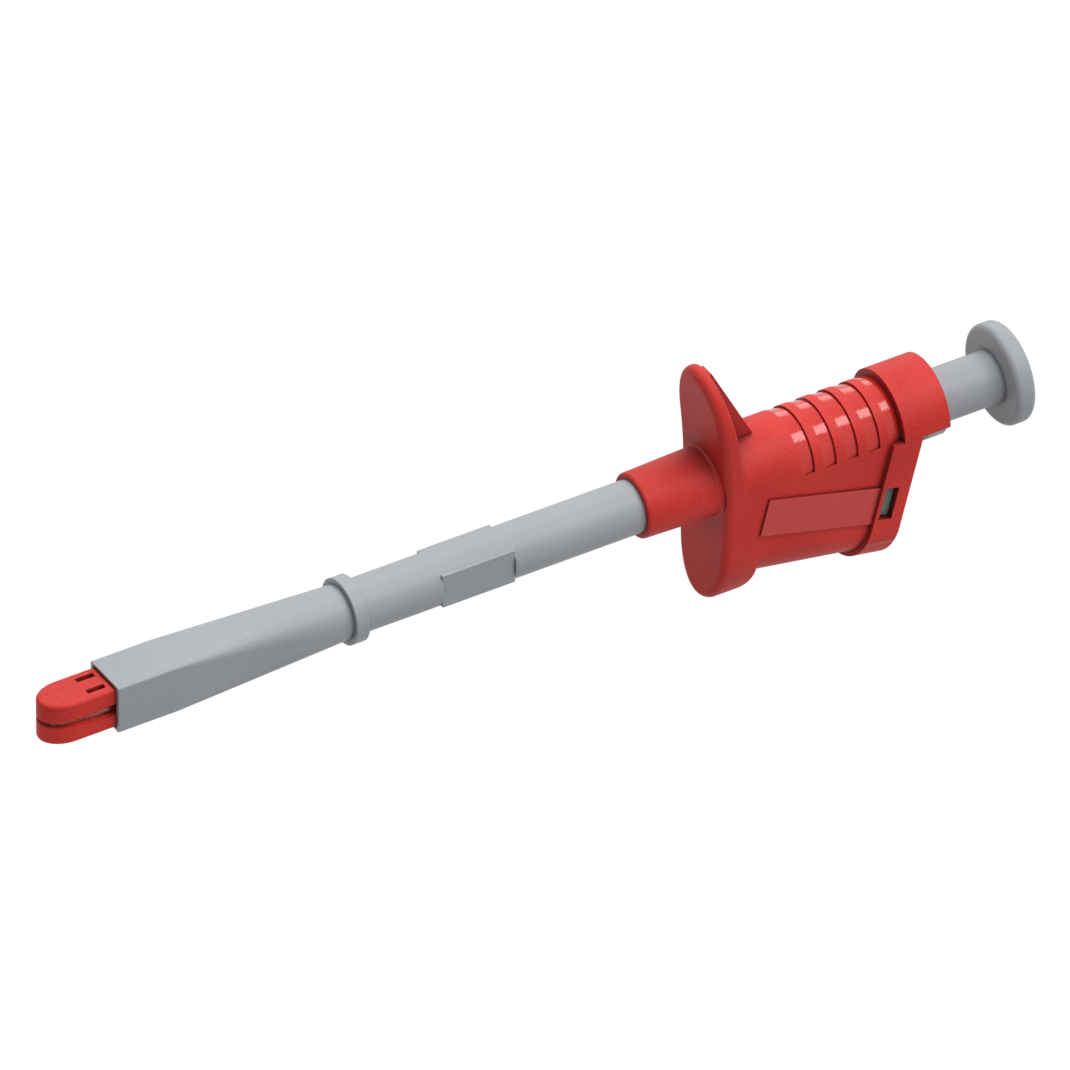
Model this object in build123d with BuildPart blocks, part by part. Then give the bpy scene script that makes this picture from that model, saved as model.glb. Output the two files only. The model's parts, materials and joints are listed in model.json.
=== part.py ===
from build123d import *
import os
from math import cos, radians, sin, tan

# Insulated plunger clip. Pressing the thumb plunger drives a rod through the shaft, which
# pushes two insulated jaws out of the nose sleeve while they swing open about one pin.
# Millimetres. +X runs from the jaws to the thumb cap along the shaft's axis, +Z is up, and
# the origin lies between the closed jaws, where they grip a conductor.

# Clearances
SEAT_GAP = 0.05          # between fixed pieces that are pushed together
PRESS_GAP = 0.02         # around a pressed pin or rod
RUNNING_GAP = 0.05       # radial, around what slides or turns
SIDE_GAP = 0.1           # beside flat faces that move past each other
OPEN_GAP = 0.2           # around moving pieces that nothing guides

# Travel
PLUNGER_TRAVEL = 10.0
PRESSED_CAP_GAP = 0.3    # cap from the collar when it is pressed home

# Jaws
JAW_REACH = 10.8         # jaw tip ahead of the sleeve's mouth
GRIP_DEPTH = 5.0         # grip point behind the jaw tip
JAW_WIDTH = 6.3
JAW_HALF_HEIGHT = 3.35
JAW_NOSE_LENGTH = 4.4
JAW_EDGE_RADIUS = 0.5
LIP_GAP = 0.37           # each lip from the axis at the tip
UPPER_LIP_RISE = 0.5     # further at the mouth
LOWER_LIP_RISE = 0.83
RAMP_AHEAD = 0.35        # closing ramp starts ahead of the mouth
RAMP_LENGTH = 4.8
RAMP_END_HEIGHT = 1.7
SLOT_LENGTH = 2.9
SLOT_WIDTH = 0.9
SLOT_OFFSET = 1.5
SLOT_BACK = 0.9          # slot's rear end ahead of the mouth

# Metal jaw levers
LEVER_GAP = 0.3          # grip face from the axis
LEVER_THICKNESS = 0.7
LEVER_WIDTH = 4.1
LEVER_NOSE_LENGTH = 3.6
TOOTH_PITCH = 0.9
TOOTH_DEPTH = 0.25
TOOTH_COUNT = 8
LEVER_STEP = 1.2         # from the plate up to the arm
TAB_WIDTH = 0.7
TAB_LENGTH = 1.4
TAB_HEIGHT = 1.3
ARM_WIDTH = 5.0
ARM_INNER_HEIGHT = 0.55
ARM_OUTER_HEIGHT = 1.5
KNUCKLE_RADIUS = 1.6
MIDDLE_KNUCKLE_WIDTH = 1.6
OUTER_KNUCKLE_WIDTH = 0.75
PIVOT_BACK = 16.0        # pivot pin behind the mouth, plunger released
PIVOT_PIN_RADIUS = 0.75

# Jaw spreader spring, a bent strip
SPREADER_THICKNESS = 0.25
SPREADER_WIDTH = 2.4
SPREADER_LENGTH = 6.2
SPREADER_FOLD_GAP = 0.8  # fold ahead of the knuckles

# Fork that carries the jaws
FORK_RADIUS = 2.6
FORK_EAR_THICKNESS = 0.85
FORK_EAR_RADIUS = 1.9
FORK_SLOT_DEPTH = 4.9    # behind the pivot
FORK_LENGTH = 13.7       # behind the pivot
GUIDE_LAND_LENGTH = 3.0
GUIDE_LAND_RADIUS = 2.72
FORK_PIN_RADIUS = 0.5
FORK_PIN_FROM_END = 4.6

# Nose sleeve
NOSE_WIDTH = 7.74
NOSE_SIDE_WALL = 0.6
NOSE_TOP_WALL = 0.4
NOSE_CORNER_RADIUS = 0.3
NOSE_SQUARE_LENGTH = 9.7
NOSE_LENGTH = 38.2
NOSE_END_RADIUS = 4.1
NOSE_END_FLAT = 0.02     # left of each flat side where the sleeve is round
NOSE_POCKET_LENGTH = 15.2
NOSE_SOCKET_LENGTH = 6.0

# Shaft tube
TUBE_RADIUS = 4.0
TUBE_BORE_RADIUS = 2.8
TUBE_FRONT_SPIGOT_RADIUS = 3.45
TUBE_REAR_SPIGOT_RADIUS = 3.55
TUBE_REAR_SPIGOT_LENGTH = 8.1
TUBE_BEHIND_WEB = 1.6
RING_RADIUS = 5.0
RING_WIDTH = 2.0
RING_BLEND = 0.5
TUBE_SHOWN_LENGTH = 47.8  # from the ring's front to the handle's spout
PAD_FROM_RING = 14.7
PAD_LENGTH = 11.8
PAD_FLAT = 3.55          # from the axis
PAD_HALF_HEIGHT = 2.72
CIRCLIP_WIDTH = 0.6
CIRCLIP_RADIUS = 4.6
CIRCLIP_DEPTH = 0.25
CIRCLIP_OPENING = 60.0   # degrees

# Handle shell
SPOUT_LENGTH = 11.8
SPOUT_FRONT_RADIUS = 4.9
SPOUT_REAR_RADIUS = 5.25
SPOUT_BLEND = 0.7
SPOUT_EDGE_RADIUS = 0.4
FLANGE_HALF_HEIGHT = 19.8
FLANGE_END_LENGTH = 10.0
FLANGE_TOP_SWEEP = 2.1   # front of the upper end ahead of the middle
FLANGE_BOTTOM_SWEEP = 1.6
FLANGE_TOP_THICKNESS = 2.1
FLANGE_UPPER_THICKNESS = 2.6
FLANGE_LOWER_THICKNESS = 4.45
FLANGE_TAIL_THICKNESS = 5.0    # where the barrel's underside meets it
FLANGE_BOTTOM_THICKNESS = 4.0
FLANGE_FRONT_EDGE_RADIUS = 1.2
FLANGE_REAR_EDGE_RADIUS = 0.5
GUSSET_WIDTH = 2.4
GUSSET_LENGTH = 2.85
GUSSET_TOP_LENGTH = 0.6
GUSSET_TOP = 19.2
BARREL_RADIUS = 6.4
BARREL_BORE_RADIUS = 5.0
LOWER_CENTRE_FRONT = 10.2  # below the axis, behind the flange
LOWER_CENTRE_REAR = 14.5   # below the axis, on the rear face
GRIP_FRONT = 6.45        # behind the flange's rear face
GRIP_PITCH = 3.6
GRIP_COUNT = 5
GRIP_CREST_LENGTH = 1.4
GRIP_DROP = 0.3          # from a crest, level with the barrel, to the end of its ramp
REAR_RING_LENGTH = 7.5
BAND_PROUD = 0.84        # rear ring and strap stand out of the barrel
STRAP_WIDTH = 4.7
REAR_TILT = 15.0         # rear face and socket axis, degrees
REAR_FACE_FROM_RING = 3.05  # rear face crosses the axis behind the ring's front
WINDOW_WIDTH = 2.2
WINDOW_HEIGHT = 5.2
WINDOW_AHEAD = 3.0       # window's centre ahead of the rear face
WINDOW_DOWN = 10.8
PANEL_FROM_FLANGE = 2.45
PANEL_LENGTH = 20.0
PANEL_HEIGHT = 6.0
PANEL_PROUD = 0.35
PANEL_DOWN = 1.9
PANEL_SLOPE = 15.0

# Rear insert with the safety socket
COLLAR_RADIUS = 5.3
COLLAR_PROUD = 0.8       # behind the rear ring
INSERT_HALF_WIDTH = 5.2
INSERT_DEPTH = 7.0
INSERT_ROOF = 5.6        # below the axis, ahead of the collar
SHROUD_DEPTH = 18.6
GROOVE_RADIUS = 4.1
GROOVE_DEPTH = 17.0
CORE_RADIUS = 3.3
CORE_LIP = 1.5
CORE_LIP_RADIUS = 2.3
LATCH_PROUD = 1.1
LATCH_GAP = 0.15

# Socket contact and the wiper circuit
PLUG_RADIUS = 2.0        # 4 mm safety plug
CONTACT_RADIUS = 2.7
CONTACT_END_DEPTH = 20.6   # along the socket from the rear face
CONTACT_FLOOR = 1.2
STUB_RADIUS = 1.0
STUB_LENGTH = 2.0
STUB_END_ROOM = 1.2      # ahead of the link
LINK_THICKNESS = 0.6
LINK_WIDTH = 4.0
LINK_END_WALL = 1.1      # below the stub
BUSH_FLANGE_RADIUS = 4.9
BUSH_FLANGE_WIDTH = 1.0
BUSH_HUB_RADIUS = 2.3
BUSH_HUB_LENGTH = 5.2
WASHER_WIDTH = 1.0

# Return spring of square wire
SPRING_WIRE = 0.6
SPRING_MEAN_RADIUS = 3.6
SPRING_TURNS = 6

# Plunger
ROD_RADIUS = 1.5
STEM_RADIUS = 4.0
CAP_RADIUS = 7.6
CAP_THICKNESS = 3.1
CAP_EDGE_RADIUS = 0.9
STOP_RADIUS = 4.8
STOP_WIDTH = 1.45
ROD_HOLD = 10.6          # rod's length inside the stem
STEM_PIN_RADIUS = 0.5
STEM_PIN_BACK = 5.5
STEM_PIN_HALF_LENGTH = 3.8

# Places along the axis
tip_x = -GRIP_DEPTH
mouth_x = tip_x + JAW_REACH
pivot_x = mouth_x + PIVOT_BACK
ring_x = mouth_x + NOSE_LENGTH
spout_x = ring_x + TUBE_SHOWN_LENGTH
flange_x = spout_x + SPOUT_LENGTH
flange_rear_x = flange_x + FLANGE_UPPER_THICKNESS
barrel_x = flange_x + FLANGE_LOWER_THICKNESS
grip_x = barrel_x + GRIP_FRONT
rear_ring_x = grip_x + GRIP_PITCH * GRIP_COUNT
rear_ring_end_x = rear_ring_x + REAR_RING_LENGTH
collar_end_x = rear_ring_end_x + COLLAR_PROUD
cap_x = collar_end_x + PLUNGER_TRAVEL + PRESSED_CAP_GAP
stop_x = rear_ring_x - SEAT_GAP - STOP_WIDTH
fork_end_x = pivot_x + FORK_LENGTH

# The rear face leans, with the socket square to it
tilt = radians(REAR_TILT)
rear_face_x = rear_ring_x + REAR_FACE_FROM_RING
rear_plane = Plane(origin=(rear_face_x, 0, 0), x_dir=(0, 1, 0), z_dir=(cos(tilt), 0, -sin(tilt)))
socket_y = -LOWER_CENTRE_REAR / cos(tilt)
socket_centre = (rear_face_x - LOWER_CENTRE_REAR * tan(tilt), 0, -LOWER_CENTRE_REAR)
socket_plane = Plane(origin=socket_centre, x_dir=(0, 1, 0), z_dir=(cos(tilt), 0, -sin(tilt)))

# Ahead of the socket contact follow the link, the tube's end and the web that holds it
contact_end_x = socket_centre[0] - CONTACT_END_DEPTH * cos(tilt) - CONTACT_RADIUS * sin(tilt)
link_x = contact_end_x - OPEN_GAP - LINK_THICKNESS
link_drop = LOWER_CENTRE_REAR - (socket_centre[0] - link_x) * tan(tilt) + STUB_RADIUS + LINK_END_WALL
tube_end_x = link_x - OPEN_GAP
web_x = tube_end_x - TUBE_BEHIND_WEB
spigot_step_x = tube_end_x - TUBE_REAR_SPIGOT_LENGTH
bush_x = link_x + LINK_THICKNESS
washer_x = bush_x + BUSH_FLANGE_WIDTH
spring_x = washer_x + WASHER_WIDTH

strap_front_x = rear_face_x - STRAP_WIDTH / cos(tilt)
panel_x = barrel_x + PANEL_FROM_FLANGE
FAR = 60.0               # beyond any section, for cutting right through


def section(plane, *corners):
    """A closed face through the given corners in a plane along the shaft's axis."""
    with BuildSketch(plane) as face:
        with BuildLine():
            Polyline(*corners, close=True)
        make_face()
    return face.sketch


def slot_section(x, lower_centre, radius):
    """A plane and an upright slot in it, round about the axis above and lower_centre below."""
    with BuildSketch(Plane.YZ.offset(x)) as slot:
        with Locations((0, -lower_centre / 2)):
            SlotCenterToCenter(lower_centre, 2 * radius, rotation=90)
    return slot.sketch


def lower_centre_at(x):
    """Depth of the lower round's centre below the axis at x."""
    share = (x - barrel_x) / (socket_centre[0] - barrel_x)
    return LOWER_CENTRE_FRONT + share * (LOWER_CENTRE_REAR - LOWER_CENTRE_FRONT)


# Nose sleeve: square at the mouth, round where it meets the ring
with BuildPart() as nose_sleeve:
    with BuildSketch(Plane.YZ.offset(mouth_x)):
        RectangleRounded(NOSE_WIDTH, NOSE_WIDTH, NOSE_CORNER_RADIUS)
    extrude(amount=NOSE_SQUARE_LENGTH)
    with BuildSketch(Plane.YZ.offset(mouth_x + NOSE_SQUARE_LENGTH)):
        RectangleRounded(NOSE_WIDTH, NOSE_WIDTH, NOSE_CORNER_RADIUS)
    with BuildSketch(Plane.YZ.offset(ring_x)):
        RectangleRounded(2 * NOSE_END_RADIUS, 2 * NOSE_END_RADIUS, NOSE_END_RADIUS - NOSE_END_FLAT / 2)
    loft(ruled=True)
    with BuildSketch(Plane.YZ.offset(mouth_x)):
        Rectangle(NOSE_WIDTH - 2 * NOSE_SIDE_WALL, NOSE_WIDTH - 2 * NOSE_TOP_WALL)
    extrude(amount=NOSE_POCKET_LENGTH, mode=Mode.SUBTRACT)
    with BuildSketch(Plane.YZ.offset(mouth_x)):
        Circle(TUBE_BORE_RADIUS)
    extrude(amount=NOSE_LENGTH, mode=Mode.SUBTRACT)
    with BuildSketch(Plane.YZ.offset(ring_x)):
        Circle(TUBE_FRONT_SPIGOT_RADIUS + SEAT_GAP)
    extrude(amount=-NOSE_SOCKET_LENGTH, mode=Mode.SUBTRACT)
nose_sleeve.part.label = "nose_sleeve"

# Shaft tube: ring in front, two flat pads, and a rear spigot with a groove
with BuildPart() as shaft_tube:
    front_spigot_x = ring_x - NOSE_SOCKET_LENGTH + OPEN_GAP
    with BuildSketch(Plane.XZ):
        with BuildLine():
            Polyline(
                (front_spigot_x, TUBE_BORE_RADIUS),
                (front_spigot_x, TUBE_FRONT_SPIGOT_RADIUS),
                (ring_x, TUBE_FRONT_SPIGOT_RADIUS),
                (ring_x, RING_RADIUS),
                (ring_x + RING_WIDTH, RING_RADIUS),
                (ring_x + RING_WIDTH, TUBE_RADIUS),
                (spigot_step_x, TUBE_RADIUS),
                (spigot_step_x, TUBE_REAR_SPIGOT_RADIUS),
                (tube_end_x, TUBE_REAR_SPIGOT_RADIUS),
                (tube_end_x, TUBE_BORE_RADIUS),
                close=True,
            )
        make_face()
    revolve(axis=Axis.X)
    ring_edges = shaft_tube.edges().filter_by(GeomType.CIRCLE).filter_by_position(
        Axis.X, ring_x + RING_WIDTH - RING_BLEND, ring_x + RING_WIDTH + RING_BLEND
    )
    fillet(ring_edges.sort_by(SortBy.RADIUS)[0], RING_BLEND)
    with BuildSketch(Plane.YZ.offset(ring_x + PAD_FROM_RING)):
        Rectangle(2 * PAD_FLAT, 2 * PAD_HALF_HEIGHT)
        Circle(TUBE_BORE_RADIUS, mode=Mode.SUBTRACT)
    extrude(amount=PAD_LENGTH)
    with BuildSketch(Plane.YZ.offset(ring_x + PAD_FROM_RING)):
        Rectangle(FAR, 2 * PAD_HALF_HEIGHT)
        Rectangle(2 * PAD_FLAT, 2 * PAD_HALF_HEIGHT, mode=Mode.SUBTRACT)
    extrude(amount=PAD_LENGTH, mode=Mode.SUBTRACT)
    with BuildSketch(Plane.YZ.offset(web_x + SEAT_GAP)):
        Circle(TUBE_RADIUS)
        Circle(TUBE_REAR_SPIGOT_RADIUS - CIRCLIP_DEPTH, mode=Mode.SUBTRACT)
    extrude(amount=CIRCLIP_WIDTH + SEAT_GAP, mode=Mode.SUBTRACT)
shaft_tube.part.label = "shaft_tube"

# Open ring that holds the tube in the handle
with BuildPart() as tube_circlip:
    with BuildSketch(Plane.YZ.offset(web_x + SEAT_GAP)):
        Circle(CIRCLIP_RADIUS)
        Circle(TUBE_REAR_SPIGOT_RADIUS - CIRCLIP_DEPTH + PRESS_GAP, mode=Mode.SUBTRACT)
        with BuildLine():
            half_opening = CIRCLIP_RADIUS * tan(radians(CIRCLIP_OPENING / 2))
            Polyline((0, 0), (half_opening, CIRCLIP_RADIUS), (-half_opening, CIRCLIP_RADIUS), close=True)
        make_face(mode=Mode.SUBTRACT)
    extrude(amount=CIRCLIP_WIDTH)
tube_circlip.part.label = "tube_circlip"

# Finger flange: an oval plate, thin above the barrel, whose two ends sweep forward
with BuildPart() as flange_form:
    end_centre = FLANGE_HALF_HEIGHT - FLANGE_END_LENGTH
    band_end = FLANGE_HALF_HEIGHT + OPEN_GAP
    top_x = flange_x - FLANGE_TOP_SWEEP
    bottom_x = flange_x - FLANGE_BOTTOM_SWEEP
    with BuildSketch(Plane.YZ.offset(flange_x - FLANGE_END_LENGTH)):
        Rectangle(2 * BARREL_RADIUS, 2 * end_centre)
        with Locations((0, end_centre), (0, -end_centre)):
            Ellipse(BARREL_RADIUS, FLANGE_END_LENGTH)
    extrude(amount=2 * FLANGE_END_LENGTH)
    with BuildSketch(Plane.XZ):
        with BuildLine():
            front = ThreePointArc((top_x, band_end), (flange_x, 0), (bottom_x, -band_end))
            rear = Spline(
                (top_x + FLANGE_TOP_THICKNESS, band_end),
                (flange_rear_x, BARREL_RADIUS),
                (barrel_x, -BARREL_RADIUS),
                (flange_x + FLANGE_TAIL_THICKNESS, -LOWER_CENTRE_FRONT - BARREL_RADIUS),
                (bottom_x + FLANGE_BOTTOM_THICKNESS, -band_end),
            )
            Line(front @ 0, rear @ 0)
            Line(front @ 1, rear @ 1)
        make_face()
    extrude(amount=2 * BARREL_RADIUS, both=True, mode=Mode.INTERSECT)
    front_face = flange_form.faces().sort_by(SortBy.AREA)[-2:].sort_by(Axis.X)[0]
    fillet(front_face.edges(), FLANGE_FRONT_EDGE_RADIUS)
    rear_face = flange_form.faces().sort_by(SortBy.AREA)[-2:].sort_by(Axis.X)[-1]
    fillet(rear_face.edges(), FLANGE_REAR_EDGE_RADIUS)

# Strap: the rear end of the lower housing, standing out of it and leaning with the rear face
with BuildPart() as strap_form:
    add(slot_section(barrel_x, LOWER_CENTRE_FRONT, BARREL_RADIUS + BAND_PROUD))
    add(slot_section(rear_ring_end_x, lower_centre_at(rear_ring_end_x), BARREL_RADIUS + BAND_PROUD))
    loft()
    with BuildSketch(rear_plane):
        Rectangle(FAR, FAR)
    extrude(amount=-STRAP_WIDTH, mode=Mode.INTERSECT)
    split(bisect_by=Plane.XY, keep=Keep.BOTTOM)


def insert_form(gap):
    """The rear insert's outline, or with a gap the cavity that it is pushed into."""
    half_width = INSERT_HALF_WIDTH + gap
    upper_y = socket_y + LOWER_CENTRE_REAR - INSERT_ROOF
    with BuildPart() as plug:
        with BuildSketch(rear_plane):
            with Locations((0, (socket_y + upper_y) / 2)):
                SlotCenterToCenter(upper_y - socket_y, 2 * half_width, rotation=90)
        extrude(amount=-INSERT_DEPTH - gap)
        with BuildSketch(socket_plane):
            Circle(half_width)
        extrude(amount=-SHROUD_DEPTH - gap)
        roof_z = -INSERT_ROOF + gap
        collar_x = rear_ring_x - gap
        above_roof = section(
            Plane.XZ,
            (barrel_x, roof_z),
            (collar_x, roof_z),
            (collar_x, FAR),
            (barrel_x, FAR),
        )
        extrude(above_roof, amount=FAR, both=True, mode=Mode.SUBTRACT)
        with BuildSketch(Plane.YZ.offset(collar_x)):
            Circle(COLLAR_RADIUS + gap)
        extrude(amount=collar_end_x - rear_ring_x + 2 * gap)
    return plug.part


# Handle shell
with BuildPart() as handle_shell:
    blend_x = flange_x - SPOUT_BLEND
    blend_radius = SPOUT_REAR_RADIUS + SPOUT_BLEND
    with BuildSketch(Plane.XZ):
        with BuildLine():
            Polyline((spout_x, 0), (spout_x, SPOUT_FRONT_RADIUS), (blend_x, SPOUT_REAR_RADIUS))
            CenterArc((blend_x, blend_radius), SPOUT_BLEND, -90, 90)
            Polyline((flange_x, blend_radius), (flange_x, 0), (spout_x, 0))
        make_face()
    revolve(axis=Axis.X)
    fillet(handle_shell.faces().sort_by(Axis.X)[0].edges(), SPOUT_EDGE_RADIUS)
    add(flange_form.part)
    barrel_front_x = flange_x + FLANGE_UPPER_THICKNESS / 2
    add(slot_section(barrel_front_x, lower_centre_at(barrel_front_x), BARREL_RADIUS))
    add(slot_section(rear_ring_end_x, lower_centre_at(rear_ring_end_x), BARREL_RADIUS))
    loft()
    with BuildSketch(rear_plane):
        Rectangle(FAR, 2 * FAR)
    extrude(amount=FAR, mode=Mode.SUBTRACT)
    add(strap_form.part)

    # Gusset behind the flange's upper end
    gusset_foot = BARREL_RADIUS - SEAT_GAP
    gusset_form = section(
        Plane.XZ,
        (top_x + FLANGE_TOP_THICKNESS / 2, GUSSET_TOP),
        (top_x + FLANGE_TOP_THICKNESS + GUSSET_TOP_LENGTH, GUSSET_TOP),
        (barrel_x + GUSSET_LENGTH, gusset_foot),
        (barrel_front_x, gusset_foot),
    )
    extrude(gusset_form, amount=GUSSET_WIDTH / 2, both=True)

    # Grip: a crest and a ramp behind it, over and over on the upper half
    for ramp in range(GRIP_COUNT):
        ramp_end_x = grip_x + (ramp + 1) * GRIP_PITCH
        profile = section(
            Plane.XY,
            (ramp_end_x - GRIP_PITCH + GRIP_CREST_LENGTH, BARREL_RADIUS),
            (ramp_end_x - GRIP_PITCH + GRIP_CREST_LENGTH, BARREL_RADIUS + BAND_PROUD),
            (ramp_end_x, BARREL_RADIUS + BAND_PROUD),
            (ramp_end_x, BARREL_RADIUS - GRIP_DROP),
        )
        revolve(profile, axis=Axis.X, revolution_arc=180, mode=Mode.SUBTRACT)

    # Rear ring over the plunger's collar
    profile = section(
        Plane.XY,
        (rear_ring_x, COLLAR_RADIUS),
        (rear_ring_x, BARREL_RADIUS + BAND_PROUD),
        (rear_ring_end_x, BARREL_RADIUS + BAND_PROUD),
        (rear_ring_end_x, COLLAR_RADIUS),
    )
    revolve(profile, axis=Axis.X, revolution_arc=180)

    # Bores for the tube, its rear spigot and the plunger
    profile = section(
        Plane.XZ,
        (spout_x, 0),
        (spout_x, TUBE_RADIUS + SEAT_GAP),
        (spigot_step_x + SEAT_GAP, TUBE_RADIUS + SEAT_GAP),
        (spigot_step_x + SEAT_GAP, TUBE_REAR_SPIGOT_RADIUS + SEAT_GAP),
        (web_x, TUBE_REAR_SPIGOT_RADIUS + SEAT_GAP),
        (web_x, BARREL_BORE_RADIUS),
        (rear_ring_x, BARREL_BORE_RADIUS),
        (rear_ring_x, 0),
    )
    revolve(profile, axis=Axis.X, mode=Mode.SUBTRACT)
    add(insert_form(SEAT_GAP), mode=Mode.SUBTRACT)
    with BuildSketch(socket_plane):
        Circle(CONTACT_RADIUS + OPEN_GAP)
    extrude(amount=-CONTACT_END_DEPTH - OPEN_GAP, mode=Mode.SUBTRACT)
    with BuildSketch(socket_plane):
        Circle(STUB_RADIUS + OPEN_GAP)
    extrude(amount=-CONTACT_END_DEPTH - STUB_LENGTH - OPEN_GAP, mode=Mode.SUBTRACT)
    with BuildSketch(Plane.YZ.offset(link_x - STUB_END_ROOM)):
        Rectangle(LINK_WIDTH + 2 * OPEN_GAP, link_drop + OPEN_GAP, align=(Align.CENTER, Align.MAX))
    extrude(amount=STUB_END_ROOM + LINK_THICKNESS + 2 * OPEN_GAP, mode=Mode.SUBTRACT)

    # Latch windows in the strap, and a bare raised panel on each side
    with BuildSketch(rear_plane.offset(-WINDOW_AHEAD - WINDOW_WIDTH / 2)):
        with Locations((0, -WINDOW_DOWN)):
            Rectangle(FAR, WINDOW_HEIGHT)
    extrude(amount=WINDOW_WIDTH, mode=Mode.SUBTRACT)
    for side in (1, -1):
        with BuildSketch(Plane.XZ.offset(side * (BARREL_RADIUS - PANEL_PROUD))):
            with Locations((panel_x, -PANEL_DOWN)):
                Rectangle(PANEL_LENGTH, PANEL_HEIGHT, rotation=-PANEL_SLOPE, align=(Align.MIN, Align.MAX))
            with BuildLine():
                Polyline(
                    (panel_x - PANEL_LENGTH, 0),
                    (strap_front_x + OPEN_GAP, 0),
                    (strap_front_x + OPEN_GAP - FAR * tan(tilt), -FAR),
                    (panel_x - PANEL_LENGTH - FAR, -FAR),
                    close=True,
                )
            make_face(mode=Mode.INTERSECT)
        extrude(amount=side * 2 * PANEL_PROUD)
handle_shell.part.label = "handle_shell"

# Rear insert: plunger collar, shrouded safety socket and two side latches in one moulding
with BuildPart() as rear_insert:
    add(insert_form(0))
    with BuildSketch(rear_plane.offset(-WINDOW_AHEAD - WINDOW_WIDTH / 2 + LATCH_GAP)):
        with Locations((0, -WINDOW_DOWN)):
            Rectangle(2 * (INSERT_HALF_WIDTH + LATCH_PROUD), WINDOW_HEIGHT - 2 * LATCH_GAP)
    extrude(amount=WINDOW_WIDTH - 2 * LATCH_GAP)
    with BuildSketch(Plane.YZ.offset(rear_ring_x)):
        Circle(STEM_RADIUS + RUNNING_GAP)
    extrude(amount=FAR, mode=Mode.SUBTRACT)
    with BuildSketch(socket_plane):
        Circle(GROOVE_RADIUS)
        Circle(CORE_RADIUS, mode=Mode.SUBTRACT)
    extrude(amount=-GROOVE_DEPTH, mode=Mode.SUBTRACT)
    with BuildSketch(socket_plane):
        Circle(CORE_LIP_RADIUS)
    extrude(amount=-SHROUD_DEPTH, mode=Mode.SUBTRACT)
    with BuildSketch(socket_plane.offset(-CORE_LIP)):
        Circle(CONTACT_RADIUS + PRESS_GAP)
    extrude(amount=-SHROUD_DEPTH, mode=Mode.SUBTRACT)
rear_insert.part.label = "rear_insert"

# Socket contact: a blind sleeve for a 4 mm plug, with a stub for the link
with BuildPart() as socket_contact:
    with BuildSketch(socket_plane.offset(-CORE_LIP - PRESS_GAP)):
        Circle(CONTACT_RADIUS)
    extrude(amount=-CONTACT_END_DEPTH + CORE_LIP + PRESS_GAP)
    with BuildSketch(socket_plane):
        Circle(STUB_RADIUS)
    extrude(amount=-CONTACT_END_DEPTH - STUB_LENGTH)
    with BuildSketch(socket_plane):
        Circle(PLUG_RADIUS)
    extrude(amount=-CONTACT_END_DEPTH + CONTACT_FLOOR, mode=Mode.SUBTRACT)
socket_contact.part.label = "socket_contact"

# Link strip from the wiper bush down to the socket contact's stub
with BuildPart() as contact_link:
    with BuildSketch(Plane.YZ.offset(link_x)):
        Circle(BUSH_FLANGE_RADIUS)
        Rectangle(LINK_WIDTH, link_drop, align=(Align.CENTER, Align.MAX))
        Circle(TUBE_BORE_RADIUS, mode=Mode.SUBTRACT)
    extrude(amount=LINK_THICKNESS)
    with BuildSketch(socket_plane):
        Circle(STUB_RADIUS + PRESS_GAP)
    extrude(amount=-FAR, mode=Mode.SUBTRACT)
contact_link.part.label = "contact_link"

# Wiper bush: the rod slides through it and takes the current from the jaws
with BuildPart() as wiper_bush:
    profile = section(
        Plane.XZ,
        (bush_x, ROD_RADIUS + RUNNING_GAP),
        (bush_x, BUSH_FLANGE_RADIUS),
        (washer_x, BUSH_FLANGE_RADIUS),
        (washer_x, BUSH_HUB_RADIUS),
        (washer_x + BUSH_HUB_LENGTH, BUSH_HUB_RADIUS),
        (washer_x + BUSH_HUB_LENGTH, ROD_RADIUS + RUNNING_GAP),
    )
    revolve(profile, axis=Axis.X)
wiper_bush.part.label = "wiper_bush"

# Insulating washer between the bush and the spring
with BuildPart() as spring_washer:
    with BuildSketch(Plane.YZ.offset(washer_x)):
        Circle(BUSH_FLANGE_RADIUS)
        Circle(BUSH_HUB_RADIUS + SEAT_GAP, mode=Mode.SUBTRACT)
    extrude(amount=WASHER_WIDTH)
spring_washer.part.label = "spring_washer"

# Return spring between the washer and the plunger's stop
with BuildPart() as return_spring:
    spring_start_x = spring_x + SPRING_WIRE / 2 + SEAT_GAP
    spring_length = stop_x - spring_x - SPRING_WIRE - 2 * SEAT_GAP
    with BuildLine():
        coil = Helix(
            pitch=spring_length / SPRING_TURNS,
            height=spring_length,
            radius=SPRING_MEAN_RADIUS,
            center=(spring_start_x, 0, 0),
            direction=(1, 0, 0),
        )
    with BuildSketch(Plane(origin=coil @ 0, z_dir=coil % 0)):
        Rectangle(SPRING_WIRE, SPRING_WIRE)
    sweep(is_frenet=True)
return_spring.part.label = "return_spring"

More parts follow.
